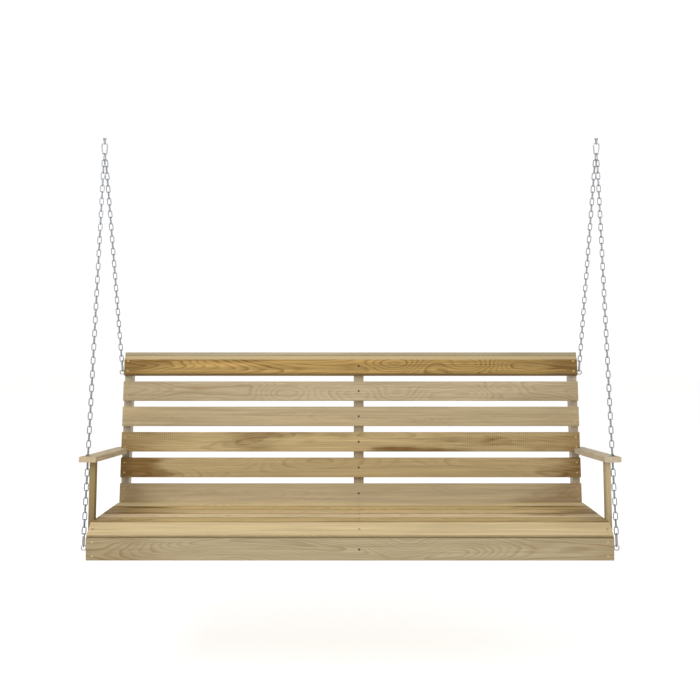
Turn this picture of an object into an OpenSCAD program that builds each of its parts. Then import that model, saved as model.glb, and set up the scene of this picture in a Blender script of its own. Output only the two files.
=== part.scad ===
// Porch swing seat: a slatted wooden bench hung on four chains from two ceiling eyes.
// The origin is the middle of the swing axis, between the two ceiling eyes.
// X runs along the bench, -Y is the front, Z is up. Millimetres.

/* [Boards] */
// Length of the seat boards, back boards, apron and cap
board_length = 1655; // [1400:5:1700]
// Width of a seat board or back board
board_width = 70; // [66:1:72]
// Thickness of the boards
board_thickness = 20; // [18:1:21]
// Radius that eases the long edges of the boards
edge_ease = 2.2; // [1:0.1:3]

/* [Seat] */
// Gap between two seat boards
seat_gap = 8; // [6:1:10]
// Slope of the seat, down towards the back
seat_slope = 4; // [2:0.5:6]
// Slope of the front board, down towards the front
nose_slope = 26.5; // [22:0.5:28]
// Level width of the sloping front board
nose_depth = 55.5; // [52:0.5:58]
// Height of the apron
apron_height = 71; // [68:1:80]
// Height of the apron's top edge below the swing axis
seat_drop = 1280; // [1200:5:1400]
// Distance of the apron's front face ahead of the swing axis
apron_ahead = 357; // [340:1:370]

/* [Back] */
// Recline of the back from upright
recline = 9.7; // [8:0.1:11]
// Gap between two back boards
back_gap = 21; // [18:1:22]
// Width of the crest board at the top of the back
crest_width = 73; // [70:1:76]
// Thickness of the cap on top of the back
cap_thickness = 13; // [11:1:16]

/* [Frame] */
// Thickness of the two end rails and end posts
end_timber = 27; // [25:1:30]
// Thickness of the middle rail and post
middle_timber = 36; // [32:1:40]
// Sideways place of the middle rail and post
middle_x = 29; // [-40:1:40]
// Depth of the back posts, front to back
post_depth = 45; // [43:1:50]

/* [Arms] */
// Width of an armrest
arm_width = 55; // [52:1:58]
// Thickness of an armrest and of the post under it
arm_thickness = 18; // [16:1:20]
// Length of an armrest
arm_length = 468; // [462:1:475]
// Slope of the armrests, down towards the back
arm_slope = 6.1; // [5:0.1:7]
// Angle by which the armrests close in towards the back
arm_toe_in = 2.4; // [2:0.1:2.8]
// Depth of the post under an armrest, front to back
arm_post_depth = 30; // [28:1:32]

/* [Hardware] */
// Diameter of the chain wire
chain_wire = 3.6; // [3.4:0.1:3.8]
// Outer width of a chain link
link_width = 16; // [15.5:0.5:16.5]
// Links in each front chain, an even number
front_links = 56; // [56:2:56]
// Links in each rear chain, an even number
rear_links = 34; // [34:2:34]
// Diameter of the snap hook wire
hook_wire = 5; // [4.6:0.1:5.2]
// Overall length of a snap hook
hook_length = 46; // [45:1:48]
// Overall width of a snap hook
hook_width = 24; // [23:0.5:26]
// Outer diameter of the eyes that the hooks go through
ring_outer = 20; // [20:0.5:21]
// Sideways place of the two ceiling eyes
ceiling_eye_x = 852.5; // [851:0.5:854]

/* [Hidden] */
$fn = 48;

LEFT = -1;
RIGHT = 1;
FRONT = 0;
REAR = 1;

half_length = board_length / 2;
small_gap = 0.1;
past = 50;

// Places in the bench are [distance back from the apron's front face, height above its top edge].
nose_top = [8.5, 7];
nose_rear = nose_top + nose_depth * [1, tan(nose_slope)];
nose_to_seat = 7;
seat_boards = 5;
seat_pitch = board_width + seat_gap;
seat_run = nose_to_seat + seat_boards * seat_pitch - seat_gap;
seat_end = nose_rear + seat_run * [cos(seat_slope), -sin(seat_slope)];

// Places in the back are [distance behind the boards' front faces, height up the back].
back_boards = 5;
back_pitch = board_width + back_gap;
back_foot = seat_end + [16.5, -6.5];
crest_foot = back_boards * back_pitch;
back_height = crest_foot + crest_width;
crest_bevel_depth = 12;
crest_bevel_top = 14;
crest_bevel_bottom = 8;
crest_bevel_bottom_depth = 6;
crest_ease = 1;
cap_overhang = 5;
post_front = board_thickness;
post_back = board_thickness + post_depth;

rail_foot = 5 - apron_height;
end_x = half_length - end_timber / 2;
rail_x = [-end_x, middle_x, end_x];

// Armrests: the front end's top edge, and the post's place along the arm.
arm_front = [109, 234];
arm_mid_x = 850;
arm_post_front = 15;
arm_post_x = half_length + arm_thickness / 2;
chain_hole_r = 12;

// Fasteners.
screw_r = 1.9;
screw_head_r = 3.6;
screw_head_h = 2.2;
screw_play = 0.05;
bolt_r = 3;
bolt_head_r = 7;
bolt_head_h = 3.2;
bolt_dome_r = 10;
washer_r = 8;
washer_h = 1.6;
nut_flat = 10;
nut_h = 5;
bolt_tail = 2;
screw_point = 3;
nose_screw = 45;
seat_screw = 45;
apron_screw = 60;
back_screw = 38;
cap_screw = 50;
arm_post_screw = 55;
arm_rear_screw = 52;
back_screw_spread = 18;
seat_screw_spread = 20;
nose_screw_back = 25;
// Sideways shift and drops below the apron's top edge, for each rail.
apron_screw_shifts = [5.5, 0, -5.5];
apron_screw_drops = [[13, 57], [36], [13, 57]];
cap_screw_places = [10, 33];
cap_screw_shifts = [6, 6, -6];
arm_post_screw_places = [22, 38];
arm_post_screw_x = 8;
// The armrest's rear end is screwed sideways into the back post.
arm_rear_screw_place = [858.5, 436];

// Eyes: rings of round wire.
ring_wire_r = 2;
ring_r = ring_outer / 2 - ring_wire_r;
ring_hole_r = ring_r - ring_wire_r;
front_ring_x = 853.5;
rear_ring_x = 843.5;
front_pull = 1;
rear_pull = -1;
front_ring = [76, -51];
rear_ring_up = 470;
eye_collar_r = 6;
eye_collar_h = 2;
bearing_r = ring_hole_r + 0.1;
collar_bottom = 4;
collar_top = 14;
collar_bottom_r = 4.8;
collar_top_r = 6.2;
ceiling_thread_r = 3.4;

// Snap hooks: a pear of wire, its wide end at the eye and its narrow end at the chain.
hook_wire_r = hook_wire / 2;
wide_r = hook_width / 2 - hook_wire_r;
narrow_r = wide_r - 2;
hook_path = hook_length - hook_wire;
wide_centre = -wide_r;
narrow_centre = narrow_r - hook_path;
hook_taper = asin((wide_r - narrow_r) / (wide_centre - narrow_centre));
gate_foot = [narrow_r * cos(hook_taper), narrow_centre - narrow_r * sin(hook_taper)];
gate_run = (wide_centre - narrow_centre) * cos(hook_taper);
gate_r = 2.2;
gate_gap = 0.4;
gate_tongue = 2;
gate_fork_gap = 0.15;
gate_cheek = 0.9;
fork_r = 2.4;
fork_depth = 3;
tongue_r = 2.3;
tongue_width = 4;
tongue_turn = 24;
tongue_root = 4;
cheek_width = 3.6;
cheek_lap = 1;
rod_socket = 0.5;
rod_thinner = 0.05;
rivet_r = 1;
rivet_play = 0.05;
rivet_head_r = 1.7;
rivet_head_h = 0.5;

// Chains: stadium links, each turned a quarter from the next.
chain_wire_r = chain_wire / 2;
link_bend_r = link_width / 2 - chain_wire_r;
link_play = 0.12;
hang_play = 0.15;

// Distance between the wire of a ring and the wire of the hook that hangs on it.
ring_grip = ring_wire_r + hook_wire_r + hang_play;
// The two chains hang side by side on the ceiling hook's narrow end, the front one outside.
// Their top links are twisted a little, to pass each other.
chain_side = chain_wire_r + 0.6;
top_twists = [-14, 12];
narrow_inner_r = narrow_r - hook_wire_r;
chain_room = narrow_inner_r - chain_wire_r - hang_play;
bow_drop = sqrt(narrow_r * narrow_r - chain_side * chain_side);
arch_drop = sqrt(chain_room * chain_room - chain_side * chain_side);
arch_up = bow_drop - arch_drop;

function bench_to_row(x, p) = [x, p[0] - apron_ahead, p[1] - seat_drop];
function back_place(y, z) =
    back_foot + y * [cos(recline), -sin(recline)] + z * [sin(recline), cos(recline)];
function arm_place(y, z) =
    arm_front + y * [cos(arm_slope), -sin(arm_slope)] + z * [sin(arm_slope), cos(arm_slope)];
function seat_place(s, down) =
    nose_rear + s * [cos(seat_slope), -sin(seat_slope)] - down * [sin(seat_slope), cos(seat_slope)];

// Height up the back at which a line at depth y meets a level line.
function back_height_at(y, level) = (level - back_foot[1] + y * sin(recline)) / cos(recline);

// Underside of the front board at a distance back from the apron's face.
function nose_under(u) =
    nose_top[1] + (u - nose_top[0]) * tan(nose_slope) - board_thickness / cos(nose_slope);

ring_centres = [
    bench_to_row(front_ring_x, front_ring),
    bench_to_row(rear_ring_x, back_place(post_front + post_depth / 2, rear_ring_up))
];
ring_pull = [front_pull, rear_pull];
// Lower end of each chain's line: the middle of the ring's wire where the hook bears on it.
chain_ends = [
    for (k = [FRONT, REAR])
    ring_centres[k] + [ring_pull[k], 0, sqrt(ring_r * ring_r - ring_pull[k] * ring_pull[k])]
];
ceiling_hook_z = ring_grip - ring_r;
bow_z = ceiling_hook_z + narrow_centre - bow_drop;
chain_tops = [[ceiling_eye_x + chain_side, 0, bow_z], [ceiling_eye_x - chain_side, 0, bow_z]];
chain_lines = [for (k = [FRONT, REAR]) chain_ends[k] - chain_tops[k]];
link_counts = [front_links, rear_links];
// Length of chain line left over above the first link's arch and below the last link's arch.
chain_runs = [
    for (k = [FRONT, REAR])
    norm(chain_lines[k]) + arch_up + ring_grip - hook_path + hook_wire_r + chain_wire_r + hang_play
];
// Each run is all the pitches and the two half links at its ends.
link_pitch = [for (k = [FRONT, REAR]) (chain_runs[k] - chain_wire - link_play) / link_counts[k]];
link_inside = max(link_pitch) + link_play;
link_straight = link_inside + chain_wire - 2 * link_bend_r;

// Eases each corner of an outline with a short curve that starts r from the corner.
function eased(outline, r) = [
    for (i = [0:len(outline) - 1])
    let (
        corner = outline[i],
        before = outline[(i + len(outline) - 1) % len(outline)],
        after = outline[(i + 1) % len(outline)],
        start = corner + (before - corner) * r / norm(before - corner),
        stop = corner + (after - corner) * r / norm(after - corner)
    )
    for (t = [0, 1 / 3, 2 / 3, 1])
    (1 - t) * (1 - t) * start + 2 * t * (1 - t) * corner + t * t * stop
];

// ---------- Frames and basic shapes ----------

module bench() {
    translate([0, -apron_ahead, -seat_drop]) children();
}

module back() {
    bench() translate([0, back_foot[0], back_foot[1]]) rotate([-recline, 0, 0]) children();
}

// Frame of an armrest, drawn for the right side: Y runs back along the arm, Z is square to it.
module arm(side) {
    mirror([side == LEFT ? 1 : 0, 0, 0])
        bench() translate([0, arm_front[0], arm_front[1]]) rotate([-arm_slope, 0, 0]) children();
}

module on_side(side) {
    mirror([side == LEFT ? 1 : 0, 0, 0]) children();
}

// Extrudes an outline in Y and Z along X, centred on x.
module timber(outline, x, length) {
    translate([x - length / 2, 0, 0]) rotate([90, 0, 90]) linear_extrude(length) polygon(outline);
}

module board(depth, height) {
    timber(eased([[0, 0], [depth, 0], [depth, height], [0, height]], edge_ease), 0, board_length);
}

// Rod of radius r along X from x0 to x1 at a bench place.
module cross_rod(r, x0, x1, place) {
    translate([x0, place[0], place[1]]) rotate([0, 90, 0]) cylinder(r = r, h = x1 - x0);
}

// Countersunk screw: the head's flat is at the origin and the tip points down.
module screw(length, play = 0) {
    rotate_extrude()
        polygon([
            [0, 0],
            [screw_head_r + play, 0],
            [screw_r + play, -screw_head_h - play],
            [screw_r + play, screw_point - length],
            [0, -length - play]
        ]);
}

// Ring of round wire about the Y axis.
module ring() {
    rotate([90, 0, 0]) rotate_extrude() translate([ring_r, 0]) circle(r = ring_wire_r);
}

// ---------- Places of the fasteners ----------

module at_seat_screws(board_number, rail) {
    start = nose_to_seat + (board_number - 1) * seat_pitch + board_width / 2;
    for (along = [-seat_screw_spread, seat_screw_spread]) {
        place = seat_place(start + along, 0);
        translate([rail_x[rail], place[0], place[1]]) rotate([-seat_slope, 0, 0]) children();
    }
}

module at_nose_screws(rail) {
    up = nose_screw_back * tan(nose_slope);
    translate([rail_x[rail], nose_top[0] + nose_screw_back, nose_top[1] + up])
        rotate([nose_slope, 0, 0]) children();
}

module at_apron_screws(rail) {
    for (drop = apron_screw_drops[rail])
        translate([rail_x[rail] + apron_screw_shifts[rail], 0, -drop]) rotate([90, 0, 0]) children();
}

// Two screws in each end of a back board, one at the middle post.
module at_back_screws(row, rail) {
    middle = row * back_pitch + board_width / 2;
    for (up = rail == 1 ? [0] : [-back_screw_spread, back_screw_spread])
        translate([rail_x[rail], 0, middle + up]) rotate([90, 0, 0]) children();
}

module at_cap_screws(rail) {
    for (y = cap_screw_places)
        translate([rail_x[rail] + cap_screw_shifts[rail], post_front + y, back_height + cap_thickness])
            children();
}

module at_arm_post_screws() {
    for (y = arm_post_screw_places)
        translate([half_length + arm_post_screw_x, y, 0]) children();
}

module at_arm_rear_screw() {
    translate([arm_rear_screw_place[0], arm_rear_screw_place[1], -arm_thickness / 2])
        rotate([0, 90, 0]) children();
}

lap_bolts = [back_place(34, -30), back_place(52, -48)];
arm_post_bolts = [arm_place(30, -242), arm_place(30, -280)];

// ---------- Boards ----------

module apron_board() {
    color("#b8a680") bench() difference() {
        translate([0, 0, -apron_height]) board(board_thickness, apron_height);
        for (rail = [0:2]) at_apron_screws(rail) screw(apron_screw, screw_play);
    }
}

// Front board: sloped, both long edges cut plumb, and rebated over the apron's top edge.
module front_board() {
    thick = board_thickness / cos(nose_slope);
    rebate = board_thickness + small_gap;
    outline = eased([
        nose_top,
        nose_rear,
        nose_rear - [0, thick],
        [rebate, nose_under(rebate)],
        [rebate, small_gap],
        [nose_top[0], small_gap]
    ], edge_ease);
    color("#d4be96") bench() difference() {
        timber(outline, 0, board_length);
        for (rail = [0:2]) at_nose_screws(rail) screw(nose_screw, screw_play);
    }
}

module seat_board(number) {
    front = seat_place(nose_to_seat + (number - 1) * seat_pitch, board_thickness);
    color("#c4a66c") bench() difference() {
        translate([0, front[0], front[1]]) rotate([-seat_slope, 0, 0]) board(board_width, board_thickness);
        for (rail = [0:2]) at_seat_screws(number, rail) screw(seat_screw, screw_play);
    }
}

// Back boards are numbered from the bottom.
module back_board(number) {
    color("#bfa878") back() difference() {
        translate([0, 0, (number - 1) * back_pitch]) board(board_thickness, board_width);
        for (rail = [0:2]) at_back_screws(number - 1, rail) screw(back_screw, screw_play);
    }
}

// Crest board: the top board of the back, with both front edges bevelled.
module crest_board() {
    top = crest_width;
    outline = eased([
        [crest_bevel_bottom_depth, 0],
        [board_thickness, 0],
        [board_thickness, top],
        [crest_bevel_depth, top],
        [0, top - crest_bevel_top],
        [0, crest_bevel_bottom]
    ], crest_ease);
    color("#a8823e") back() difference() {
        translate([0, 0, crest_foot]) timber(outline, 0, board_length);
        for (rail = [0:2]) at_back_screws(back_boards, rail) screw(back_screw, screw_play);
    }
}

module top_cap() {
    depth = post_back + cap_overhang - crest_bevel_depth;
    color("#ac9e7a") back() difference() {
        translate([0, crest_bevel_depth, back_height]) board(depth, cap_thickness);
        for (rail = [0:2]) at_cap_screws(rail) screw(cap_screw, screw_play);
    }
}

// ---------- Frame timbers ----------

post_outline = [
    back_place(post_front, back_height_at(post_front, rail_foot)),
    back_place(post_back, back_height_at(post_back, rail_foot)),
    back_place(post_back, back_height),
    back_place(post_front, back_height)
];

// Length along the seat at which its underside meets the back face of the posts.
rail_run = (back_place(post_back, -20) - nose_rear)[0];
rail_front_corner = [
    nose_rear[0] + small_gap,
    nose_under(nose_rear[0])
];
rail_outline = [
    [board_thickness, rail_foot],
    post_outline[1],
    seat_place(rail_run, board_thickness),
    seat_place(nose_to_seat, board_thickness),
    rail_front_corner,
    [board_thickness, nose_under(board_thickness)]
];

module lap(outline, x, width, side) {
    timber(outline, x + side * width / 4, width / 2);
}

// Side of the rail that is cut away for the post: the outer half on the end rails.
function lap_side(rail) = rail == 0 ? LEFT : RIGHT;
function timber_width(rail) = rail == 1 ? middle_timber : end_timber;

module seat_rail(rail) {
    width = timber_width(rail);
    color("#b39c6c") bench() difference() {
        timber(eased(rail_outline, edge_ease), rail_x[rail], width);
        lap(post_outline, rail_x[rail], width + 2 * small_gap, lap_side(rail));
        for (number = [1:seat_boards]) at_seat_screws(number, rail) screw(seat_screw, screw_play);
        at_nose_screws(rail) screw(nose_screw, screw_play);
        at_apron_screws(rail) screw(apron_screw, screw_play);
        for (place = lap_bolts) cross_rod(bolt_r, rail_x[rail] - past, rail_x[rail] + past, place);
        if (rail != 1) {
            cross_rod(bolt_r, rail_x[rail] - past, rail_x[rail] + past, front_ring);
            for (place = arm_post_bolts)
                cross_rod(bolt_r, rail_x[rail] - past, rail_x[rail] + past, place);
        }
    }
}

module back_post(rail) {
    width = timber_width(rail);
    eye = back_place(post_front + post_depth / 2, rear_ring_up);
    color("#b5a484") difference() {
        bench() timber(eased(post_outline, edge_ease), rail_x[rail], width);
        bench() lap(rail_outline, rail_x[rail], width, -lap_side(rail));
        bench() for (place = lap_bolts)
            cross_rod(bolt_r, rail_x[rail] - past, rail_x[rail] + past, place);
        back() for (row = [0:back_boards]) at_back_screws(row, rail) screw(back_screw, screw_play);
        back() at_cap_screws(rail) screw(cap_screw, screw_play);
        if (rail != 1) {
            bench() cross_rod(bolt_r, rail_x[rail] - past, rail_x[rail] + past, eye);
            arm(rail == 0 ? LEFT : RIGHT) at_arm_rear_screw() screw(arm_rear_screw, screw_play);
        }
    }
}

// ---------- Arms ----------

arm_post_foot = 296;

module arm_post(side) {
    color("#b09c70") difference() {
        arm(side) translate([0, arm_post_front, -arm_post_foot]) timber(
            eased([
                [0, 0],
                [arm_post_depth, 0],
                [arm_post_depth, arm_post_foot - arm_thickness],
                [0, arm_post_foot - arm_thickness]
            ], edge_ease / 2),
            arm_post_x, arm_thickness);
        arm(side) at_arm_post_screws() screw(arm_post_screw, screw_play);
        on_side(side) bench() for (place = arm_post_bolts)
            cross_rod(bolt_r, half_length - past, half_length + past, place);
    }
}

// Fraction of a front chain's line at which it passes the armrest's middle plane.
arm_plane = bench_to_row(0, arm_place(0, -arm_thickness / 2));
arm_normal = [0, sin(arm_slope), cos(arm_slope)];
chain_fraction =
    ((arm_plane - chain_tops[FRONT]) * arm_normal) / (chain_lines[FRONT] * arm_normal);
chain_hole = chain_tops[FRONT] + chain_fraction * chain_lines[FRONT];
chain_hole_y = (chain_hole - arm_plane) * [0, cos(arm_slope), -sin(arm_slope)];

// The inner part of the armrest butts on the back boards, the outer part runs on past the post.
module armrest(side) {
    color("#cdbe9c") difference() {
        arm(side) translate([arm_mid_x, 0, 0]) rotate([0, 0, arm_toe_in])
            translate([0, 0, -arm_thickness]) rotate([90, 0, 180])
            linear_extrude(arm_length)
            polygon(eased([
                [-arm_width / 2, 0],
                [arm_width / 2, 0],
                [arm_width / 2, arm_thickness],
                [-arm_width / 2, arm_thickness]
            ], edge_ease));
        on_side(side) back()
            translate([half_length - past, -small_gap, -past])
            cube([past + small_gap, 2 * post_back, back_height]);
        arm(side) translate([chain_hole[0], chain_hole_y, -past])
            cylinder(r = chain_hole_r, h = 2 * past);
        arm(side) at_arm_post_screws() screw(arm_post_screw, screw_play);
        arm(side) at_arm_rear_screw() screw(arm_rear_screw, screw_play);
    }
}

// ---------- Fasteners ----------

module screws_in_bench() {
    color("#b9ab74") bench() children();
}

module apron_screws() {
    screws_in_bench() for (rail = [0:2]) at_apron_screws(rail) screw(apron_screw);
}

module seat_screws() {
    screws_in_bench() for (rail = [0:2]) {
        for (number = [1:seat_boards]) at_seat_screws(number, rail) screw(seat_screw);
        at_nose_screws(rail) screw(nose_screw);
    }
}

module back_screws() {
    color("#c9ba84") back() for (rail = [0:2], row = [0:back_boards])
        at_back_screws(row, rail) screw(back_screw);
}

module cap_screws() {
    color("#b9ab74") back() for (rail = [0:2]) at_cap_screws(rail) screw(cap_screw);
}

module armrest_screws() {
    color("#b9ab74") for (side = [LEFT, RIGHT]) {
        arm(side) at_arm_post_screws() screw(arm_post_screw);
        arm(side) at_arm_rear_screw() screw(arm_rear_screw);
    }
}

// One bolt across: its inner end, its outer end and its bench place, for the right side.
end_bolts = [
    for (place = lap_bolts) [half_length - end_timber, half_length, place],
    for (place = arm_post_bolts) [half_length - end_timber, half_length + arm_thickness, place]
];
middle_bolts = [
    for (place = lap_bolts) [middle_x - middle_timber / 2, middle_x + middle_timber / 2, place]
];

module at_bolts() {
    for (side = [LEFT, RIGHT], $bolt = end_bolts) on_side(side) bench() children();
    for ($bolt = middle_bolts) bench() children();
}

// Round-headed bolt: the head is a flat dome on the outer face.
module frame_bolts() {
    color("#9a9a9c") at_bolts() {
        stack = washer_h + nut_h + bolt_tail;
        cross_rod(bolt_r - screw_play, $bolt[0] - stack, $bolt[1] + bolt_head_h / 2, $bolt[2]);
        translate([$bolt[1], $bolt[2][0], $bolt[2][1]]) rotate([0, 90, 0]) rotate_extrude()
            intersection() {
                translate([0, bolt_head_h - bolt_dome_r]) circle(r = bolt_dome_r);
                square([bolt_head_r, bolt_head_h]);
            }
    }
}

module washer(x, place) {
    difference() {
        cross_rod(washer_r, x - washer_h, x, place);
        cross_rod(bolt_r, x - past, x + past, place);
    }
}

module nut(x, place) {
    translate([x - nut_h, place[0], place[1]]) rotate([0, 90, 0]) difference() {
        cylinder(r = nut_flat / 2 / cos(30), h = nut_h, $fn = 6);
        translate([0, 0, -1]) cylinder(r = bolt_r, h = nut_h + 2);
    }
}

module frame_washers() {
    color("#a4a4a6") at_bolts() washer($bolt[0], $bolt[2]);
}

module frame_nuts() {
    color("#a4a4a6") at_bolts() nut($bolt[0] - washer_h, $bolt[2]);
}

// ---------- Eyes ----------

// Eye bolt across an end timber, with its ring outside and its nut inside.
module eye_bolt(side, which) {
    centre = ring_centres[which];
    stack = washer_h + nut_h + bolt_tail;
    inner = half_length - end_timber - stack;
    ring_side = centre[0] - ring_r;
    color("#9c9ca0") on_side(side) translate([0, centre[1], centre[2]]) {
        translate([centre[0], 0, 0]) ring();
        translate([inner, 0, 0]) rotate([0, 90, 0])
            cylinder(r = bolt_r - screw_play, h = ring_side - inner);
        translate([half_length + washer_h, 0, 0]) rotate([0, 90, 0])
            cylinder(r = eye_collar_r, h = eye_collar_h);
    }
}

module at_eye_bolts() {
    for (side = [LEFT, RIGHT], which = [FRONT, REAR])
        on_side(side) translate([0, ring_centres[which][1], ring_centres[which][2]]) children();
}

module eye_bolt_washers() {
    color("#a4a4a6") at_eye_bolts() {
        washer(half_length - end_timber, [0, 0]);
        washer(half_length + washer_h, [0, 0]);
    }
}

module eye_bolt_nuts() {
    color("#a4a4a6") at_eye_bolts() nut(half_length - end_timber - washer_h, [0, 0]);
}

// Ceiling eye: a ring in the plane of the swing, under a flared collar that is threaded from above.
// Inside the ring is a narrow round bearing land, on which the hook's wire rolls.
module ceiling_eye(side) {
    color("#8e8e92") translate([side * ceiling_eye_x, 0, 0]) difference() {
        union() {
            difference() {
                rotate([0, 0, 90]) ring();
                rotate([0, 90, 0]) cylinder(r = bearing_r, h = 2 * bearing_r, center = true);
            }
            translate([0, 0, collar_bottom])
                cylinder(r1 = collar_bottom_r, r2 = collar_top_r, h = collar_top - collar_bottom);
        }
        translate([0, 0, collar_bottom - 1])
            cylinder(r = ceiling_thread_r, h = collar_top - collar_bottom + 2);
    }
}

// ---------- Snap hooks ----------

// Frame of a ceiling hook: its wide end's wire hangs in the ceiling eye.
module at_ceiling_hook(side) {
    on_side(side) translate([ceiling_eye_x, 0, ceiling_hook_z]) children();
}

// Frame along a chain's line: the origin is the line's lower end, Z points up the chain.
module along_chain(side, which) {
    way = chain_lines[which] / norm(chain_lines[which]);
    lean = asin(way[1]);
    on_side(side) translate(chain_ends[which])
        rotate([lean, -asin(way[0] / cos(lean)), 0]) children();
}

// Frame of a lower hook: turned over, so that its wide end hangs on the eye bolt's ring.
module at_lower_hook(side, which) {
    along_chain(side, which) translate([0, 0, -ring_grip])
        rotate([0, 0, which == FRONT ? -90 : 90]) rotate([180, 0, 0]) children();
}

// Part of a ring of wire about the Y axis, from one angle to another in the XZ plane.
module wire_bend(bend_r, wire_r, from, to) {
    rotate([90, 0, 0]) rotate([0, 0, from]) rotate_extrude(angle = to - from)
        translate([bend_r, 0]) circle(r = wire_r);
}

// Straight wire between two bends: a hair thinner than they are, with its ends let into them.
module socketed_rod(wire_r, length) {
    translate([0, 0, -rod_socket]) cylinder(r = wire_r - rod_thinner, h = length + 2 * rod_socket);
}

// Body of a snap hook in the XZ plane, with the gate's opening on the +X side.
// The wire is flattened to a tongue over the last stretch before the gate's pin.
module hook_body() {
    last = 360 - hook_taper;
    round_end = last - tongue_turn;
    translate([0, 0, wide_centre]) wire_bend(wide_r, hook_wire_r, -hook_taper, 180 + hook_taper);
    translate([0, 0, narrow_centre]) wire_bend(narrow_r, hook_wire_r, 180 + hook_taper, round_end);
    translate([-gate_foot[0], 0, gate_foot[1]]) rotate([0, -hook_taper, 0])
        socketed_rod(hook_wire_r, gate_run);
    difference() {
        union() {
            translate([0, 0, narrow_centre]) rotate([90, 0, 0]) rotate([0, 0, round_end - tongue_root])
                rotate_extrude(angle = last - round_end + tongue_root)
                translate([narrow_r - tongue_width / 2, -gate_tongue / 2])
                square([tongue_width, gate_tongue]);
            pin_disc(tongue_r, 0, gate_tongue);
        }
        pin_disc(rivet_r, 0, past);
    }
}

// Disc about the gate's pin, centred at y.
module pin_disc(r, y, thickness) {
    translate([gate_foot[0], y, gate_foot[1]]) rotate([90, 0, 0])
        cylinder(r = r, h = thickness, center = true);
}

// Gate: a rod with a fork at its foot that turns on the rivet.
module hook_gate() {
    cheek_y = gate_tongue / 2 + gate_fork_gap + gate_cheek / 2;
    difference() {
        union() {
            translate([gate_foot[0], 0, gate_foot[1]]) rotate([0, hook_taper, 0]) {
                translate([0, 0, fork_depth]) cylinder(r = gate_r, h = gate_run - gate_gap - fork_depth);
                for (face = [-1, 1])
                    translate([0, face * cheek_y, (fork_depth + cheek_lap) / 2])
                        cube([cheek_width, gate_cheek, fork_depth + cheek_lap], center = true);
            }
            for (face = [-1, 1]) pin_disc(fork_r, face * cheek_y, gate_cheek);
        }
        pin_disc(rivet_r + rivet_play, 0, past);
    }
}

module hook_rivet() {
    half = gate_tongue / 2 + gate_fork_gap + gate_cheek + small_gap;
    translate([gate_foot[0], 0, gate_foot[1]]) rotate([90, 0, 0]) {
        translate([0, 0, -half]) cylinder(r = rivet_r, h = 2 * half);
        for (face = [-1, 1])
            translate([0, 0, face * (half + rivet_head_h / 2)])
                cylinder(r = rivet_head_r, h = rivet_head_h, center = true);
    }
}

module gate_rivets() {
    color("#77777a") for (side = [LEFT, RIGHT]) {
        at_ceiling_hook(side) hook_rivet();
        for (which = [FRONT, REAR]) at_lower_hook(side, which) hook_rivet();
    }
}

module ceiling_hook(side) {
    color("#8a8a8e") at_ceiling_hook(side) hook_body();
}

module lower_hook(side, which) {
    color("#8a8a8e") at_lower_hook(side, which) hook_body();
}

module ceiling_gate(side) {
    color("#a8a8ac") at_ceiling_hook(side) hook_gate();
}

module lower_gate(side, which) {
    color("#a8a8ac") at_lower_hook(side, which) hook_gate();
}

// ---------- Chains ----------

// One link in the XZ plane, its long axis along Z.
module link() {
    half = link_straight / 2;
    translate([0, 0, half]) wire_bend(link_bend_r, chain_wire_r, 0, 180);
    translate([0, 0, -half]) wire_bend(link_bend_r, chain_wire_r, 180, 360);
    for (edge = [-1, 1])
        translate([edge * link_bend_r, 0, -half]) socketed_rod(chain_wire_r, link_straight);
}

// A chain up its line: the lowest link hangs on the lower hook's narrow end.
module chain(side, which) {
    bottom = hook_path - ring_grip - hook_wire_r - chain_wire_r - hang_play;
    first = bottom + link_inside / 2 + chain_wire_r;
    last = link_counts[which] - 1;
    color("#98989c") along_chain(side, which)
        for (i = [0:last]) {
            twist = i > last - 2 ? top_twists[last - i] : 0;
            translate([0, 0, first + i * link_pitch[which]])
                rotate([0, 0, (i % 2 == 0 ? 0 : 90) + twist]) link();
        }
}

// ---------- Nodes ----------

ceiling_eye(LEFT);  // left_ceiling_eye
ceiling_eye(RIGHT);  // right_ceiling_eye
apron_board();
front_board();
seat_board(1);  // seat_board_1
seat_board(2);  // seat_board_2
seat_board(3);  // seat_board_3
seat_board(4);  // seat_board_4
seat_board(5);  // seat_board_5
back_board(1);  // back_board_1
back_board(2);  // back_board_2
back_board(3);  // back_board_3
back_board(4);  // back_board_4
back_board(5);  // back_board_5
crest_board();
top_cap();
seat_rail(0);  // left_seat_rail
seat_rail(1);  // middle_seat_rail
seat_rail(2);  // right_seat_rail
back_post(0);  // left_back_post
back_post(1);  // middle_back_post
back_post(2);  // right_back_post
arm_post(LEFT);  // left_arm_post
arm_post(RIGHT);  // right_arm_post
armrest(LEFT);  // left_armrest
armrest(RIGHT);  // right_armrest
eye_bolt(LEFT, FRONT);  // left_front_eye_bolt
eye_bolt(RIGHT, FRONT);  // right_front_eye_bolt
eye_bolt(LEFT, REAR);  // left_rear_eye_bolt
eye_bolt(RIGHT, REAR);  // right_rear_eye_bolt
eye_bolt_washers();
eye_bolt_nuts();
apron_screws();
seat_screws();
back_screws();
cap_screws();
armrest_screws();
frame_bolts();
frame_washers();
frame_nuts();
chain(LEFT, FRONT);  // left_front_chain
chain(RIGHT, FRONT);  // right_front_chain
chain(LEFT, REAR);  // left_rear_chain
chain(RIGHT, REAR);  // right_rear_chain
ceiling_hook(LEFT);  // left_ceiling_hook
ceiling_hook(RIGHT);  // right_ceiling_hook
lower_hook(LEFT, FRONT);  // left_front_hook
lower_hook(RIGHT, FRONT);  // right_front_hook
lower_hook(LEFT, REAR);  // left_rear_hook
lower_hook(RIGHT, REAR);  // right_rear_hook
gate_rivets();
ceiling_gate(LEFT);  // left_ceiling_gate
ceiling_gate(RIGHT);  // right_ceiling_gate
lower_gate(LEFT, FRONT);  // left_front_gate
lower_gate(RIGHT, FRONT);  // right_front_gate
lower_gate(LEFT, REAR);  // left_rear_gate
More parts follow.
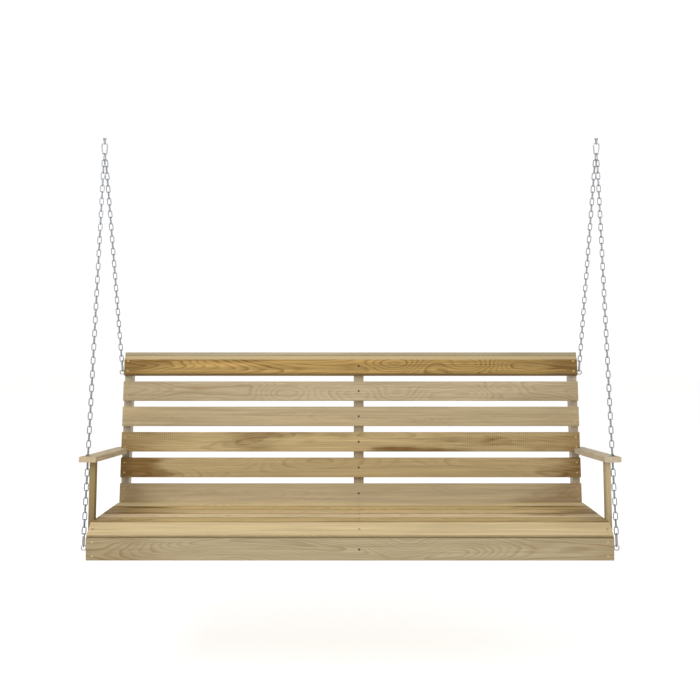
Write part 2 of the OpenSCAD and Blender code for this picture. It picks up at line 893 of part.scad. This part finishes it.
lower_gate(RIGHT, REAR);  // right_rear_gate
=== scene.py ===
import math

import bmesh
import bpy
import numpy as np
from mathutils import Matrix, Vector


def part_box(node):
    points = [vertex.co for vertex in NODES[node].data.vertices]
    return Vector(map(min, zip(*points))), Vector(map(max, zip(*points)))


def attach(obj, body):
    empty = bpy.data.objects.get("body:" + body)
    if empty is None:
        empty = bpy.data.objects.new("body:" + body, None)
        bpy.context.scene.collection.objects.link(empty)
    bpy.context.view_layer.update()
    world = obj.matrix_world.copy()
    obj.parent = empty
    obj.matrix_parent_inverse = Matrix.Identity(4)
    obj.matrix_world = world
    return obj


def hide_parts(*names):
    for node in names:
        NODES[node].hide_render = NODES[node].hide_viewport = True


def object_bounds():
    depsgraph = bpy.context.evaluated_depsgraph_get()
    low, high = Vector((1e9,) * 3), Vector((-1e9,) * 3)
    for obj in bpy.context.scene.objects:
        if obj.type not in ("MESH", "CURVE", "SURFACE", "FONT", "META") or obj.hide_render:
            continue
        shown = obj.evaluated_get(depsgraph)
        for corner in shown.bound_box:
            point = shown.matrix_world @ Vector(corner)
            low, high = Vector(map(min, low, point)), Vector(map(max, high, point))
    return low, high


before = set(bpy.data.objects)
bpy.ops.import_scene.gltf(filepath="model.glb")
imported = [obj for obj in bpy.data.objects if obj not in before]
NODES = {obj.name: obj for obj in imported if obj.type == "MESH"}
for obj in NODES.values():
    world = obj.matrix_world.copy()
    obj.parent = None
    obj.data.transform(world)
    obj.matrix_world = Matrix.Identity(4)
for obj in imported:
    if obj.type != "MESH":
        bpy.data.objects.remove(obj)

CAD_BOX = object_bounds()

WHITE = (1.0, 1.0, 1.0, 1.0)

# ---------- Colours, as 0-255 sRGB ----------

GREY_PINE = (190, 172, 140)
WARM_PINE = (204, 172, 118)
STAIN = (116, 84, 30)
# Dark brown of the painted shade on faces that look down and on the seat boards' front edges.
BROWN_SHADE = (84, 56, 20)
KNOT = (86, 52, 26)
ZINC = (168, 171, 176)
HOOK_STEEL = (200, 202, 205)
EYE_STEEL = (186, 188, 192)
BOLT_STEEL = (160, 161, 164)
YELLOW_ZINC = (204, 186, 138)
MIDDLE_SCREW_DARK = (96, 80, 56)


def linear(rgb):
    """An sRGB colour as the linear RGBA that shaders take."""
    out = []
    for c in rgb:
        c = c / 255
        out.append(c / 12.92 if c <= 0.04045 else ((c + 0.055) / 1.055) ** 2.4)
    return (*out, 1.0)


# ---------- Shader helpers ----------

# Where the Mix node keeps its colour sockets, which share their names with its other kinds of socket.
COLOUR_A, COLOUR_B, COLOUR_OUT = 6, 7, 2


class Graph:
    """One material's node tree, with short calls that add a node and give its first output."""

    def __init__(self, name):
        self.material = bpy.data.materials.new(name)
        self.material.use_nodes = True
        self.tree = self.material.node_tree
        self.tree.nodes.clear()

    def add(self, kind, inputs=(), out=0, **settings):
        node = self.tree.nodes.new(kind)
        for key, value in settings.items():
            setattr(node, key, value)
        for key, value in dict(inputs).items():
            self.put(node.inputs[key], value)
        return node.outputs[out]

    def put(self, socket, value):
        if isinstance(value, bpy.types.NodeSocket):
            self.tree.links.new(value, socket)
        else:
            socket.default_value = value

    def math(self, operation, a, b=0.0, clamp=False):
        return self.add("ShaderNodeMath", {0: a, 1: b}, operation=operation, use_clamp=clamp)

    def remap(self, value, low, high, to_low=0.0, to_high=1.0):
        return self.add("ShaderNodeMapRange", {
            "Value": value, "From Min": low, "From Max": high, "To Min": to_low, "To Max": to_high,
        }, interpolation_type="SMOOTHSTEP")

    def dot(self, vector, axis):
        return self.add("ShaderNodeVectorMath", {0: vector, 1: axis}, out="Value", operation="DOT_PRODUCT")

    def combine(self, x, y, z):
        return self.add("ShaderNodeCombineXYZ", {0: x, 1: y, 2: z})

    def noise(self, vector, scale, detail=2.0, roughness=0.5):
        return self.add("ShaderNodeTexNoise", {
            "Vector": vector, "Scale": scale, "Detail": detail, "Roughness": roughness,
        })

    def noise_line(self, w, scale, detail=1.0):
        return self.add("ShaderNodeTexNoise", {"W": w, "Scale": scale, "Detail": detail},
                        noise_dimensions="1D")

    def mix(self, share, a, b, blend="MIX"):
        node = self.tree.nodes.new("ShaderNodeMix")
        node.data_type = "RGBA"
        node.blend_type = blend
        self.put(node.inputs["Factor"], share)
        self.put(node.inputs[COLOUR_A], a)
        self.put(node.inputs[COLOUR_B], b)
        return node.outputs[COLOUR_OUT]

    def ramp(self, value, stops):
        node = self.tree.nodes.new("ShaderNodeValToRGB")
        band = node.color_ramp
        while len(band.elements) < len(stops):
            band.elements.new(1.0)
        for element, (place, level) in zip(band.elements, stops):
            element.position = place
            element.color = (level, level, level, 1)
        self.put(node.inputs["Fac"], value)
        return node.outputs["Color"]

    def finish(self, colour, roughness, height, bump, distance, metallic=0.0, specular=0.5, glow=0.0):
        normal = self.add("ShaderNodeBump", {"Strength": bump, "Distance": distance, "Height": height})
        shader = self.add("ShaderNodeBsdfPrincipled", {
            "Base Color": colour, "Roughness": roughness, "Metallic": metallic,
            "Specular IOR Level": specular, "Normal": normal,
            "Emission Color": WHITE, "Emission Strength": glow,
        })
        output = self.tree.nodes.new("ShaderNodeOutputMaterial")
        self.tree.links.new(shader, output.inputs["Surface"])
        return self.material


# ---------- Pine ----------

# Sizes of the grain, in metres unless the name says otherwise.
PITH_SIDE = 0.028
PITH_DEPTHS = (-0.080, -0.028)
RING_WOBBLE = 0.0035
KNOT_OFFSET = 0.012
KNOT_REACH = 0.045
KNOT_PUSH = 0.018
KNOT_CORE = (0.0035, 0.0075)
KNOT_STRETCH_SHARE = 0.30
PLANER_PITCH = 0.0075
# Spacing of the timbers' own places in the noise, so that no two share a pattern.
SEED_STEP = 7.31
# One growth ring, from its pale early wood to its dark late wood: (place, darkness).
RING_PROFILE = [(0.0, 0.25), (0.12, 0.0), (0.55, 0.18), (0.88, 1.0), (1.0, 0.5)]

UP, DOWN, FORWARD = (0.0, 0.0, 1.0), (0.0, 0.0, -1.0), (0.0, -1.0, 0.0)
# Painted shade: every timber's faces that look down are darkened towards dark brown.
UNDERSIDE_SHADE = (DOWN, 0.35, 0.95, 0.35, BROWN_SHADE)


class Pine:
    """How one timber looks.

    rings, ends, blotches, ripple and end_grain say how strong the growth rings, the stain at the ends, the
    stained patches, the planer's marks and the darker end faces are. streaks scales the light and dark
    streaks, spacing is from ring to ring, and ends_from is the share of the half length where the stain at
    the ends begins. swirls are places where the rings flow round a small knot: a share of the half length
    from the middle, and the strength of the knot's dark core. facing lists painted light and shade for the
    faces that look in a direction: direction, where it starts, where it is full, strength, colour. Painted
    shade on the faces that look down is always added.
    """

    def __init__(self, tone, rings=0.45, ends=0.2, blotches=0.2, ripple=0.0, swirls=(), facing=(),
                 streaks=1.0, end_grain=0.35, spacing=0.0042, ends_from=0.66):
        self.tone = tone
        self.rings = rings
        self.ends = ends
        self.blotches = blotches
        self.ripple = ripple
        self.swirls = swirls
        # The painted shade on faces that look down is added to every timber.
        self.facing = (UNDERSIDE_SHADE, *facing)
        self.streaks = streaks
        self.end_grain = end_grain
        self.spacing = spacing
        self.ends_from = ends_from


class Grain:
    """Places in one timber, as sockets: u along it, v across it and w through it, from its middle."""

    def __init__(self, g, name, seed):
        middle, (along, across, through) = timber_axes(name)
        coords = g.tree.nodes.new("ShaderNodeTexCoord")
        place = g.add("ShaderNodeVectorMath", {0: coords.outputs["Object"], 1: tuple(middle)},
                      operation="SUBTRACT")
        self.g = g
        self.seed = seed
        low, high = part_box(name)
        self.half_length = max(high - low) / 2
        self.u, self.v, self.w = (g.dot(place, tuple(axis)) for axis in (along, across, through))
        self.shifted = g.math("ADD", self.u, seed * SEED_STEP)
        self.normal = coords.outputs["Normal"]
        self.end_facing = g.math("ABSOLUTE", g.dot(self.normal, tuple(along)))

    def noise(self, along, across, detail, roughness=0.5):
        """Noise that is drawn out along the timber: how often it changes per metre along and across."""
        g = self.g
        place = g.combine(g.math("MULTIPLY", self.shifted, along), g.math("MULTIPLY", self.v, across),
                          g.math("MULTIPLY", self.w, across))
        return g.noise(place, 1.0, detail, roughness)


def vertices_of(node):
    mesh = NODES[node].data
    flat = np.empty(len(mesh.vertices) * 3)
    mesh.vertices.foreach_get("co", flat)
    return flat.reshape(-1, 3)


def timber_axes(node):
    """Middle of a timber and its directions along, across and through it, from its own vertices."""
    points = np.unique(np.round(vertices_of(node), 5), axis=0)
    low, high = points.min(0), points.max(0)
    _, _, axes = np.linalg.svd(points - points.mean(0), full_matrices=False)
    axes = [a * np.sign(a[np.abs(a).argmax()]) for a in axes]
    return (low + high) / 2, axes


def length_of(g, x, y):
    return g.math("SQRT", g.math("ADD", g.math("MULTIPLY", x, x), g.math("MULTIPLY", y, y)))


def pith_distance(g, grain):
    """Distance from the pith, which runs behind the face and wanders sideways."""
    side = g.remap(g.noise_line(grain.shifted, 1.1), 0.2, 0.8, -PITH_SIDE, PITH_SIDE)
    depth = g.remap(g.noise_line(g.math("ADD", grain.shifted, 40.0), 0.9, 2.0), 0.2, 0.8, *PITH_DEPTHS)
    radius = length_of(g, g.math("SUBTRACT", grain.v, side), g.math("SUBTRACT", grain.w, depth))
    return g.math("ADD", radius, g.remap(grain.noise(2.2, 17.0, 3.0), 0.25, 0.75, -RING_WOBBLE, RING_WOBBLE))


def knot_distance(g, grain, at_u, at_v):
    """Distance from a knot, counted less along the grain so that the rings flow round it."""
    du = g.math("MULTIPLY", g.math("SUBTRACT", grain.u, at_u), KNOT_STRETCH_SHARE)
    return length_of(g, du, g.math("SUBTRACT", grain.v, at_v))


def growth_rings(g, grain, look):
    """Darkness of the growth rings, and the dark cores of the knots that they flow round."""
    radius = pith_distance(g, grain)
    cores = []
    for number, (share, core) in enumerate(look.swirls):
        offset = KNOT_OFFSET * math.cos(grain.seed * 3.3 + number * 2.1)
        far = knot_distance(g, grain, share * grain.half_length, offset)
        radius = g.math("ADD", radius, g.remap(far, 0.0, KNOT_REACH, KNOT_PUSH, 0.0))
        if core:
            cores.append(g.remap(far, *KNOT_CORE, core, 0.0))
    rings = g.math("DIVIDE", radius, look.spacing)
    band = g.ramp(g.math("FRACT", rings), RING_PROFILE)
    own = g.add("ShaderNodeTexWhiteNoise", {"W": g.math("ADD", g.math("FLOOR", rings), grain.seed)},
                noise_dimensions="1D")
    return g.math("MULTIPLY", band, g.remap(own, 0.0, 1.0, 0.45, 1.0)), cores


def stain_share(g, grain, look, band, broad):
    """Share of brown stain: at the ends and in patches, carried further along the dark rings."""
    half = grain.half_length
    blot = grain.noise(2.4, 14.0, 3.0, 0.55)
    reach = g.math("ADD", g.math("ABSOLUTE", grain.u), g.remap(blot, 0.3, 0.7, -0.10 * half, 0.16 * half))
    ends = g.remap(reach, look.ends_from * half, half, 0.0, look.ends)
    patches = g.remap(blot, 0.50, 0.70, 0.0, look.blotches)
    stain = g.math("ADD", ends, patches, clamp=True)
    stain = g.math("MULTIPLY", stain, g.remap(broad, 0.25, 0.70, 0.55, 1.15))
    dark = g.math("ADD", stain, g.math("MULTIPLY", band, look.rings), clamp=True)
    if look.ripple:
        dark = g.math("ADD", dark, ripple_marks(g, grain, look.ripple), clamp=True)
    return dark


def ripple_marks(g, grain, strength):
    """Faint cross marks that a planer leaves, where the noise lets them through."""
    wave = g.math("SINE", g.math("MULTIPLY", grain.u, 2 * math.pi / PLANER_PITCH))
    place = g.combine(g.math("MULTIPLY", grain.u, 3.0), g.math("MULTIPLY", grain.v, 10.0), 0.3)
    where = g.remap(g.noise(place, 1.0), 0.35, 0.65)
    return g.math("MULTIPLY", g.remap(wave, -1.0, 1.0, 0.0, strength), where)


def fibre_light(g, look, fine, medium, broad):
    """How much lighter or darker the fibres are, from hair-fine to broad streaks."""
    light = g.math("MULTIPLY", g.remap(fine, 0.3, 0.7, 0.93, 1.05),
                   g.remap(broad, 0.3, 0.7, 1 - 0.10 * look.streaks, 1 + 0.08 * look.streaks))
    medium_light = g.remap(medium, 0.3, 0.7, 1 - 0.09 * look.streaks, 1 + 0.07 * look.streaks)
    return g.math("MULTIPLY", light, medium_light)


def tint_faces(g, grain, look, colour):
    """Darker end faces, and painted light and shade on the faces that look in one direction."""
    end_face = g.remap(grain.end_facing, 0.6, 0.9)
    colour = g.mix(g.math("MULTIPLY", end_face, look.end_grain), colour, linear(STAIN))
    # Painted light and shade: faces that look in each listed direction are mixed towards a lighter or darker
    # colour.
    for direction, start_at, full_at, strength, tint in look.facing:
        share = g.remap(g.dot(grain.normal, direction), start_at, full_at, 0.0, strength)
        colour = g.mix(share, colour, linear(tint))
    return colour


def pine_material(name, look, seed):
    g = Graph("pine_" + name)
    grain = Grain(g, name, seed)
    fine = grain.noise(9.0, 900.0, 2.0)
    medium = grain.noise(4.0, 330.0, 2.0)
    broad = grain.noise(1.6, 110.0, 3.0)
    band, knot_cores = growth_rings(g, grain, look)
    colour = g.mix(stain_share(g, grain, look, band, broad), linear(look.tone), linear(STAIN))
    light = fibre_light(g, look, fine, medium, broad)
    colour = g.mix(1.0, colour, g.combine(light, light, light), "MULTIPLY")
    for core in knot_cores:
        colour = g.mix(core, colour, linear(KNOT))
    colour = tint_faces(g, grain, look, colour)
    roughness = g.remap(g.math("ADD", band, fine), 0.3, 1.4, 0.62, 0.48)
    height = g.math("ADD", g.math("MULTIPLY", band, 0.55), g.math("MULTIPLY", fine, 0.45))
    return g.finish(colour, roughness, height, 0.45, 0.0006, specular=0.3)


# Painted shade: the seat boards' faces that look forward, at the gaps between the boards, are darkened.
SEAT_EDGE_SHADE = (FORWARD, 0.35, 0.70, 0.62, BROWN_SHADE)
# Painted highlight on the crest's faces that look up, and painted shade on those that look down.
CREST_LIGHT_AND_SHADE = (
    (UP, 0.40, 0.62, 0.75, (200, 180, 138)),
    (DOWN, 0.10, 0.45, 0.50, (74, 60, 44)),
)
# Painted shade on the front board's nose, which looks forward and down.
NOSE_SHADE = (FORWARD, 0.55, 0.88, 0.38, (98, 82, 52))
# Painted shade on the apron's top, under the front board's nose.
APRON_TOP_SHADE = (UP, 0.15, 0.50, 0.42, (98, 82, 52))

TIMBERS = {
    "apron_board": Pine((170, 155, 122), rings=0.42, ends=0.26, blotches=0.14, swirls=((-0.44, 0), (0.22, 0)),
                        facing=(APRON_TOP_SHADE,)),
    "front_board": Pine((206, 184, 140), rings=0.20, ends=0.10, blotches=0.10, facing=(NOSE_SHADE,)),
    "seat_board_1": Pine((196, 170, 116), rings=0.40, ends=0.60, blotches=0.35, facing=(SEAT_EDGE_SHADE,)),
    "seat_board_2": Pine((222, 200, 158), rings=0.35, ends=0.35, blotches=0.40, facing=(SEAT_EDGE_SHADE,)),
    "seat_board_3": Pine((212, 187, 138), rings=0.35, ends=0.80, blotches=0.15, facing=(SEAT_EDGE_SHADE,)),
    "seat_board_4": Pine((208, 182, 126), rings=0.50, ends=0.55, blotches=0.60, facing=(SEAT_EDGE_SHADE,)),
    "seat_board_5": Pine((220, 199, 154), rings=0.35, ends=0.12, blotches=0.25, facing=(SEAT_EDGE_SHADE,)),
    "back_board_1": Pine((184, 166, 132), rings=0.12, ends=0.55, blotches=0.10),
    "back_board_2": Pine((182, 159, 115), rings=0.34, ends=0.95, ends_from=0.80, blotches=0.20),
    "back_board_3": Pine((190, 167, 120), rings=0.34, ends=0.55, blotches=0.95, ripple=0.20, streaks=1.4),
    "back_board_4": Pine((181, 162, 126), rings=0.14, ends=0.12, blotches=0.08, streaks=1.2),
    "back_board_5": Pine((183, 166, 133), rings=0.34, ends=0.30, blotches=0.12, streaks=1.2,
                         swirls=((-0.3, 0), (0.19, 0), (0.66, 0))),
    "crest_board": Pine((172, 140, 80), rings=0.90, ends=0.75, ends_from=0.74, blotches=0.45, streaks=2.2,
                        spacing=0.0032, swirls=((0.19, 0), (0.55, 0)),
                        facing=CREST_LIGHT_AND_SHADE),
    "top_cap": Pine((172, 159, 130), rings=0.25, ends=0.15, blotches=0.15),
    "left_seat_rail": Pine(GREY_PINE, rings=0.35, swirls=((0.4, 0.9),)),
    "middle_seat_rail": Pine(WARM_PINE, rings=0.35, swirls=((-0.3, 0.9),)),
    "right_seat_rail": Pine(GREY_PINE, rings=0.35),
    "left_back_post": Pine((188, 174, 148), rings=0.25, ends=0.1, blotches=0.1),
    "middle_back_post": Pine((192, 174, 142), rings=0.25, ends=0.1, blotches=0.1),
    "right_back_post": Pine((196, 181, 157), rings=0.25, ends=0.1, blotches=0.1),
    # The left arm post's darker tone is painted shade: its visible inner side face is in shadow.
    "left_arm_post": Pine((142, 122, 80), rings=0.22, ends=0.2, blotches=0.15),
    "right_arm_post": Pine((178, 160, 124), rings=0.22, ends=0.1, blotches=0.1),
    "left_armrest": Pine((197, 180, 148), rings=0.30, ends=0.1, blotches=0.15, end_grain=0.1),
    "right_armrest": Pine((196, 182, 155), rings=0.30, ends=0.1, blotches=0.15, end_grain=0.0),
}


def finish_timbers():
    for seed, (name, look) in enumerate(TIMBERS.items(), start=1):
        set_material(NODES[name], pine_material(name, look, seed))


# ---------- Metals ----------

# Screws nearer the centre than this, in metres, are the dark ones of the middle rail and post.
MIDDLE_REACH = 0.1
GRIME = (96, 88, 76)


def metal_material(name, rgb, roughness, spangle, dirt, middle_rgb=None):
    """Plated steel: a mottled coat, dull scuffs and a little grime in the noise's hollows.

    middle_rgb is the darker colour of the pieces at the middle rail and post, where it differs.
    """
    g = Graph(name)
    place = g.tree.nodes.new("ShaderNodeTexCoord").outputs["Object"]
    coat = linear(rgb)
    if middle_rgb:
        off_middle = g.math("ABSOLUTE", g.dot(place, (1.0, 0.0, 0.0)))
        coat = g.mix(g.math("GREATER_THAN", off_middle, MIDDLE_REACH), linear(middle_rgb), coat)
    coarse = g.noise(place, 140.0, 3.0)
    fine = g.noise(place, 1500.0, 2.0)
    cells = g.add("ShaderNodeTexVoronoi", {"Vector": place, "Scale": 700.0}, out="Color")
    flake = g.dot(cells, (0.33, 0.33, 0.33))
    light = g.remap(flake, 0.0, 1.0, 1.0 - spangle, 1.0)
    colour = g.mix(1.0, coat, g.combine(light, light, light), "MULTIPLY")
    grime = g.remap(coarse, 0.52, 0.75, 0.0, dirt)
    colour = g.mix(grime, colour, linear(GRIME))
    rough = g.math("ADD", g.remap(fine, 0.2, 0.8, roughness - 0.08, roughness + 0.10),
                   g.math("MULTIPLY", grime, 0.3))
    return g.finish(colour, rough, fine, 0.25, 0.0002, metallic=1.0)


def set_material(obj, material):
    obj.data.materials.clear()
    obj.data.materials.append(material)


def finish_metals():
    hook = metal_material("hook_steel", HOOK_STEEL, 0.30, 0.06, 0.25)
    eye = metal_material("eye_steel", EYE_STEEL, 0.36, 0.10, 0.35)
    bolt = metal_material("bolt_steel", BOLT_STEEL, 0.38, 0.12, 0.35)
    for name in NODES:
        if "hook" in name or "gate" in name:
            set_material(NODES[name], hook)
        elif "eye" in name:
            set_material(NODES[name], eye)
        elif name.startswith("frame_"):
            set_material(NODES[name], bolt)


# ---------- Loose solids of a CAD node ----------

def loose_solids(node):
    """The points of each separate solid in a CAD node."""
    mesh = NODES[node].data
    points, same = np.unique(np.round(vertices_of(node), 6), axis=0, return_inverse=True)
    edges = np.empty(len(mesh.edges) * 2, int)
    mesh.edges.foreach_get("vertices", edges)
    a, b = same.ravel()[edges.reshape(-1, 2)].T
    label = np.arange(len(points))
    while True:
        low = np.minimum(label[a], label[b])
        before = label.copy()
        np.minimum.at(label, a, low)
        np.minimum.at(label, b, low)
        label = label[label]
        if (label == before).all():
            break
    return [points[label == k] for k in np.unique(label)]


def own_axes(points):
    """Middle of a solid, and its directions from the longest to the shortest."""
    _, _, axes = np.linalg.svd(points - points.mean(0), full_matrices=False)
    spans = [points @ a for a in axes]
    middle = sum(a * (s.max() + s.min()) / 2 for a, s in zip(axes, spans))
    sizes = [s.max() - s.min() for s in spans]
    order = np.argsort(sizes)[::-1]
    return middle, [axes[k] for k in order], [sizes[k] for k in order]


def build(name, points, faces, material, body, slot, *cad_nodes):
    """A mesh piece that rides on a body and stands for CAD nodes."""
    mesh = bpy.data.meshes.new(name)
    mesh.from_pydata([tuple(p) for p in points], [], faces)
    mesh.update()
    obj = bpy.data.objects.new(name, mesh)
    bpy.context.scene.collection.objects.link(obj)
    set_material(obj, material)
    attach(obj, body)
    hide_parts(*cad_nodes)
    return obj


def smooth(obj, angle=40.0):
    """Smooth shading, with edges sharper than the angle kept sharp."""
    mesh = obj.data
    mesh.polygons.foreach_set("use_smooth", [True] * len(mesh.polygons))
    work = bmesh.new()
    work.from_mesh(mesh)
    for edge in work.edges:
        if len(edge.link_faces) == 2 and edge.calc_face_angle(0.0) > math.radians(angle):
            edge.smooth = False
    work.to_mesh(mesh)
    work.free()


# ---------- Chains ----------

BEND_STEPS = 10
ROUND_STEPS = 12
WELD_STEPS = 9
# The weld stands proud in a short bulge: its half length, and its height as a share of the wire's radius.
WELD_LENGTH = 0.0011
WELD_SWELL = 0.10


def link_path(half_straight, bend):
    """Closed centre line of a link in its own plane: (along, across, weld swelling) for each place."""
    path = []
    for k in range(BEND_STEPS + 1):
        turn = math.pi * k / BEND_STEPS
        path.append((half_straight + bend * math.sin(turn), bend * math.cos(turn), 0.0))
    for k in range(BEND_STEPS + 1):
        turn = math.pi * k / BEND_STEPS
        path.append((-half_straight - bend * math.sin(turn), -bend * math.cos(turn), 0.0))
    for k in range(1, WELD_STEPS):
        along = -half_straight + 2 * half_straight * k / WELD_STEPS
        path.append((along, bend, math.exp(-((along / WELD_LENGTH) ** 2))))
    return path


def link_mesh(solid, points, faces):
    """Adds one welded link, in place of a plain one."""
    middle, (long, wide, thin), (length, width, wire) = own_axes(solid)
    bend = (width - wire) / 2
    path = link_path((length - width) / 2, bend)
    count, first = len(path), len(points)
    line = np.array([middle + long * a + wide * c for a, c, _ in path])
    for k in range(count):
        ahead = line[(k + 1) % count] - line[k - 1]
        ahead = ahead / np.linalg.norm(ahead)
        outward = np.cross(thin, ahead)
        radius = wire / 2 * (1 + WELD_SWELL * path[k][2])
        for j in range(ROUND_STEPS):
            turn = 2 * math.pi * j / ROUND_STEPS
            points.append(line[k] + radius * (math.cos(turn) * outward + math.sin(turn) * thin))
    for k in range(count):
        for j in range(ROUND_STEPS):
            after = (j + 1) % ROUND_STEPS
            row, next_row = first + k * ROUND_STEPS, first + (k + 1) % count * ROUND_STEPS
            faces.append((row + j, row + after, next_row + after, next_row + j))


def build_chains():
    zinc = metal_material("chain_zinc", ZINC, 0.34, 0.10, 0.30)
    for name in sorted(NODES):
        if name.endswith("_chain"):
            points, faces = [], []
            for solid in loose_solids(name):
                link_mesh(solid, points, faces)
            obj = build(name + "_links", points, faces, zinc, "swing", "chain_zinc", name)
            smooth(obj, 80.0)


# ---------- Screws ----------

RECESS_DEPTH = 0.0013
HEAD_HEIGHT = 0.0022
HEAD_EDGE = 0.00025
POINT_LENGTH = 0.003
# A hair, so that two rings of points at one height stay apart.
HAIR = 0.00002
# Turn from one screw's recess to the next one's, in radians.
SCREW_TURN = 2.4


def recess_outline(arm, half_width):
    """Outline of a cross recess: radius at each angle, sampled so that its corners are kept."""
    corner = math.atan2(half_width, arm)
    eighth = [0.0, corner, (corner + math.pi / 4) / 2, math.pi / 4]
    turns = []
    for quarter in range(4):
        base = quarter * math.pi / 2
        turns += [base + t for t in eighth]
        turns += [base + math.pi / 2 - t for t in reversed(eighth[1:-1])]
    outline = []
    for turn in turns:
        t = turn % (math.pi / 2)
        t = min(t, math.pi / 2 - t)
        reach = arm / math.cos(t) if t <= corner + 1e-9 else half_width / math.sin(t)
        outline.append((turn, reach))
    return outline


def screw_mesh(solid, points, faces, spin):
    """Adds one countersunk screw with a cross recess, in place of a plain one."""
    middle, axes, (length, _, _) = own_axes(solid)
    along = axes[0]
    heights = (solid - middle) @ along
    spread = np.linalg.norm(solid - middle - np.outer(heights, along), axis=1)
    if heights[spread.argmax()] < 0:
        along, heights = -along, -heights
    across = np.cross(along, (0.31, 0.92, 0.23))
    across = across / np.linalg.norm(across)
    third = np.cross(along, across)
    head = spread.max()
    shank = spread[heights < 0].max()
    top = length / 2
    outline = recess_outline(head * 0.62, head * 0.15)
    rings = [
        (top - RECESS_DEPTH, [(t, r * 0.55) for t, r in outline]),
        (top - 5 * HAIR, [(t, r * 0.97) for t, r in outline]),
        (top - HAIR, outline),
        (top, [(t, head * 0.93) for t, _ in outline]),
        (top - HEAD_EDGE, [(t, head) for t, _ in outline]),
        (top - HEAD_HEIGHT, [(t, shank) for t, _ in outline]),
        (top - length + POINT_LENGTH, [(t, shank) for t, _ in outline]),
    ]
    count, first = len(outline), len(points)
    for height, ring in rings:
        for turn, reach in ring:
            turn = turn + spin
            outward = math.cos(turn) * across + math.sin(turn) * third
            points.append(middle + along * height + reach * outward)
    for level in range(len(rings) - 1):
        for k in range(count):
            a, b = first + level * count, first + (level + 1) * count
            after = (k + 1) % count
            faces.append((a + k, b + k, b + after, a + after))
    faces.append(tuple(range(first, first + count)))
    tip = len(points)
    points.append(middle - along * length / 2)
    last = first + (len(rings) - 1) * count
    for k in range(count):
        faces.append((last + k, tip, last + (k + 1) % count))


def build_screws():
    plate = metal_material("screw_zinc", YELLOW_ZINC, 0.33, 0.08, 0.45, MIDDLE_SCREW_DARK)
    for name in sorted(NODES):
        if name.endswith("_screws"):
            points, faces = [], []
            for number, solid in enumerate(loose_solids(name)):
                screw_mesh(solid, points, faces, SCREW_TURN * number)
            obj = build(name + "_cross", points, faces, plate, "swing", "screw_zinc", name)
            fix_normals(obj)
            smooth(obj, 35.0)


def fix_normals(obj):
    """Turns every face of a closed mesh outwards."""
    work = bmesh.new()
    work.from_mesh(obj.data)
    bmesh.ops.recalc_face_normals(work, faces=work.faces)
    work.to_mesh(obj.data)
    work.free()


# ---------- Studio ----------

# Clear height under the bench, and the floor's radius and the light that it adds to stay near white.
FLOOR_DROP = 0.45
FLOOR_RADIUS = 9.0
FLOOR_GLOW = 0.44
# Brightness of the backdrop as it is seen, and as it lights the swing.
BACKDROP_SEEN = 1.05
BACKDROP_LIGHT = 0.62
# The middle of the bench, which the lamps face.
LIT_PLACE = (0.0, 0.0, -1.0)
# The camera is this far ahead of the apron, and level.
CAMERA_AHEAD = 3.286


def add_floor():
    """Plain pale floor, a little below the bench."""
    low = CAD_BOX[0][2] - FLOOR_DROP
    bpy.ops.mesh.primitive_circle_add(vertices=96, radius=FLOOR_RADIUS, fill_type="NGON",
                                      location=(0.0, 1.0, low))
    floor = bpy.context.object
    floor.name = "studio_floor"
    g = Graph("studio_floor")
    tone = g.noise(g.tree.nodes.new("ShaderNodeTexCoord").outputs["Object"], 0.8)
    colour = g.mix(tone, linear((240, 240, 239)), linear((243, 243, 242)))
    set_material(floor, g.finish(colour, 0.8, tone, 0.0, 0.001, specular=0.1, glow=FLOOR_GLOW))


def add_area_light(name, location, target, size, power):
    lamp = bpy.data.lights.new(name, "AREA")
    lamp.shape = "DISK"
    lamp.size = size
    lamp.energy = power
    obj = bpy.data.objects.new(name, lamp)
    bpy.context.scene.collection.objects.link(obj)
    obj.location = location
    obj.rotation_euler = (Vector(target) - Vector(location)).to_track_quat("-Z", "Y").to_euler()


def add_world():
    """White surroundings, brighter to the camera than to the swing, so that the backdrop is plain."""
    world = bpy.data.worlds.new("studio")
    bpy.context.scene.world = world
    world.use_nodes = True
    tree = world.node_tree
    shade = tree.nodes["Background"]
    shade.inputs["Color"].default_value = WHITE
    shade.inputs["Strength"].default_value = BACKDROP_LIGHT
    seen = tree.nodes.new("ShaderNodeBackground")
    seen.inputs["Strength"].default_value = BACKDROP_SEEN
    seen.inputs["Color"].default_value = WHITE
    path = tree.nodes.new("ShaderNodeLightPath")
    mix = tree.nodes.new("ShaderNodeMixShader")
    tree.links.new(path.outputs["Is Camera Ray"], mix.inputs[0])
    tree.links.new(shade.outputs[0], mix.inputs[1])
    tree.links.new(seen.outputs[0], mix.inputs[2])
    tree.links.new(mix.outputs[0], tree.nodes["World Output"].inputs["Surface"])


def add_camera():
    """Level camera in front of the bench, its height a third of the way down the chains."""
    data = bpy.data.cameras.new("camera")
    data.sensor_width = 36.0
    data.lens = 54.0
    data.shift_x = -0.0073
    data.shift_y = -0.1257
    camera = bpy.data.objects.new("camera", data)
    bpy.context.scene.collection.objects.link(camera)
    apron_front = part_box("apron_board")[0][1]
    camera.location = (0.016, apron_front - CAMERA_AHEAD, -0.416)
    camera.rotation_euler = (math.radians(90), 0.0, 0.0)
    bpy.context.scene.camera = camera


def add_studio():
    bpy.context.scene.view_settings.view_transform = "Standard"
    add_world()
    add_floor()
    add_area_light("key", (-1.5, -2.2, 1.5), LIT_PLACE, 2.2, 62.0)
    add_area_light("fill", (2.2, -2.6, 0.2), LIT_PLACE, 2.0, 12.0)
    add_area_light("back", (0.6, 2.6, 1.2), (0.0, 0.0, -0.9), 2.0, 14.0)
    add_camera()


finish_timbers()
finish_metals()
build_chains()
build_screws()
add_studio()
